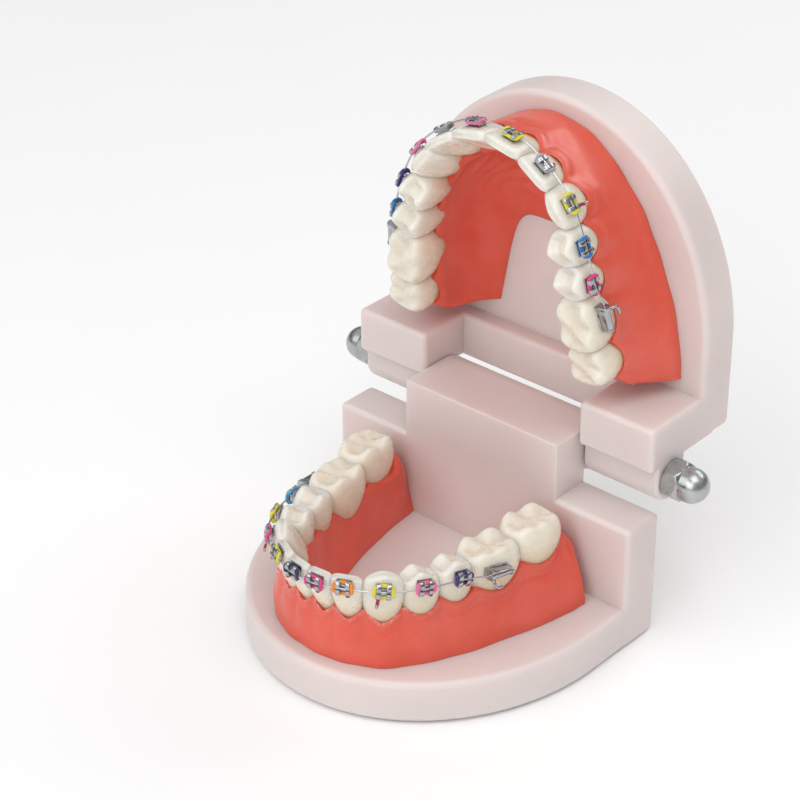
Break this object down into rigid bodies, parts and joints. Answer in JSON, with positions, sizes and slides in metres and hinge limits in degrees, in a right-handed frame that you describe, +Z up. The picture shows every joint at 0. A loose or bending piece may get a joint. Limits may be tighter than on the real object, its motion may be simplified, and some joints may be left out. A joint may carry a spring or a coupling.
{
  "type": "typodont model",
  "caption": "Hinged teaching model of two jaws with gums, separate teeth, brackets and archwires, standing open at a right angle.",
  "frame": {"origin": "middle of the flat underside of the lower base", "axes": "+Z up, -Y towards the lower incisors, +X towards the left side of the patient"},
  "size_m": [0.086, 0.0794, 0.0949],
  "materials": {
    "pink_plastic": "satin moulded pale pink",
    "gum_rubber": "waxy coral red",
    "enamel_front": "glossy ivory",
    "enamel_back": "glossy warmer ivory",
    "bracket_steel": "polished stainless",
    "archwire_steel": "drawn bright wire",
    "zinc_hardware": "bright zinc plate",
    "elastomer": "satin coloured elastic, a different colour on each bracket"
  },
  "bodies": {
    "lower_jaw": {"lower_archwire": "archwire_steel", "lower_base": "pink_plastic", "lower_gum": "gum_rubber", "lower_left_canine": "enamel_front", "lower_left_canine_bracket": "bracket_steel", "lower_left_central_incisor": "enamel_front", "lower_left_central_incisor_bracket": "bracket_steel", "lower_left_first_molar": "enamel_back", "lower_left_first_premolar": "enamel_front", "lower_left_first_premolar_bracket": "bracket_steel", "lower_left_lateral_incisor": "enamel_front", "lower_left_lateral_incisor_bracket": "bracket_steel", "lower_left_second_molar": "enamel_back", "lower_left_second_premolar": "enamel_front", "lower_left_second_premolar_bracket": "bracket_steel", "lower_right_canine": "enamel_front", "lower_right_canine_bracket": "bracket_steel", "lower_right_central_incisor": "enamel_front", "lower_right_central_incisor_bracket": "bracket_steel", "lower_right_first_molar": "enamel_back", "lower_right_first_premolar": "enamel_front", "lower_right_first_premolar_bracket": "bracket_steel", "lower_right_lateral_incisor": "enamel_front", "lower_right_lateral_incisor_bracket": "bracket_steel", "lower_right_second_molar": "enamel_back", "lower_right_second_premolar": "enamel_front", "lower_right_second_premolar_bracket": "bracket_steel"},
    "upper_jaw": {"acorn_nut_left": "zinc_hardware", "acorn_nut_right": "zinc_hardware", "hinge_rod": "zinc_hardware", "upper_archwire": "archwire_steel", "upper_base": "pink_plastic", "upper_gum": "gum_rubber", "upper_left_canine": "enamel_front", "upper_left_canine_bracket": "bracket_steel", "upper_left_central_incisor": "enamel_front", "upper_left_central_incisor_bracket": "bracket_steel", "upper_left_first_molar": "enamel_back", "upper_left_first_premolar": "enamel_front", "upper_left_first_premolar_bracket": "bracket_steel", "upper_left_lateral_incisor": "enamel_front", "upper_left_lateral_incisor_bracket": "bracket_steel", "upper_left_second_molar": "enamel_back", "upper_left_second_premolar": "enamel_front", "upper_left_second_premolar_bracket": "bracket_steel", "upper_right_canine": "enamel_front", "upper_right_canine_bracket": "bracket_steel", "upper_right_central_incisor": "enamel_front", "upper_right_central_incisor_bracket": "bracket_steel", "upper_right_first_molar": "enamel_back", "upper_right_first_premolar": "enamel_front", "upper_right_first_premolar_bracket": "bracket_steel", "upper_right_lateral_incisor": "enamel_front", "upper_right_lateral_incisor_bracket": "bracket_steel", "upper_right_second_molar": "enamel_back", "upper_right_second_premolar": "enamel_front", "upper_right_second_premolar_bracket": "bracket_steel"}
  },
  "joints": [
    {"name": "jaw_hinge", "type": "hinge", "parent": "lower_jaw", "child": "upper_jaw", "pos_m": [0, 0.0321, 0.03205], "axis": [1, 0, 0], "range_deg": [-90, 76.5]}
  ]
}
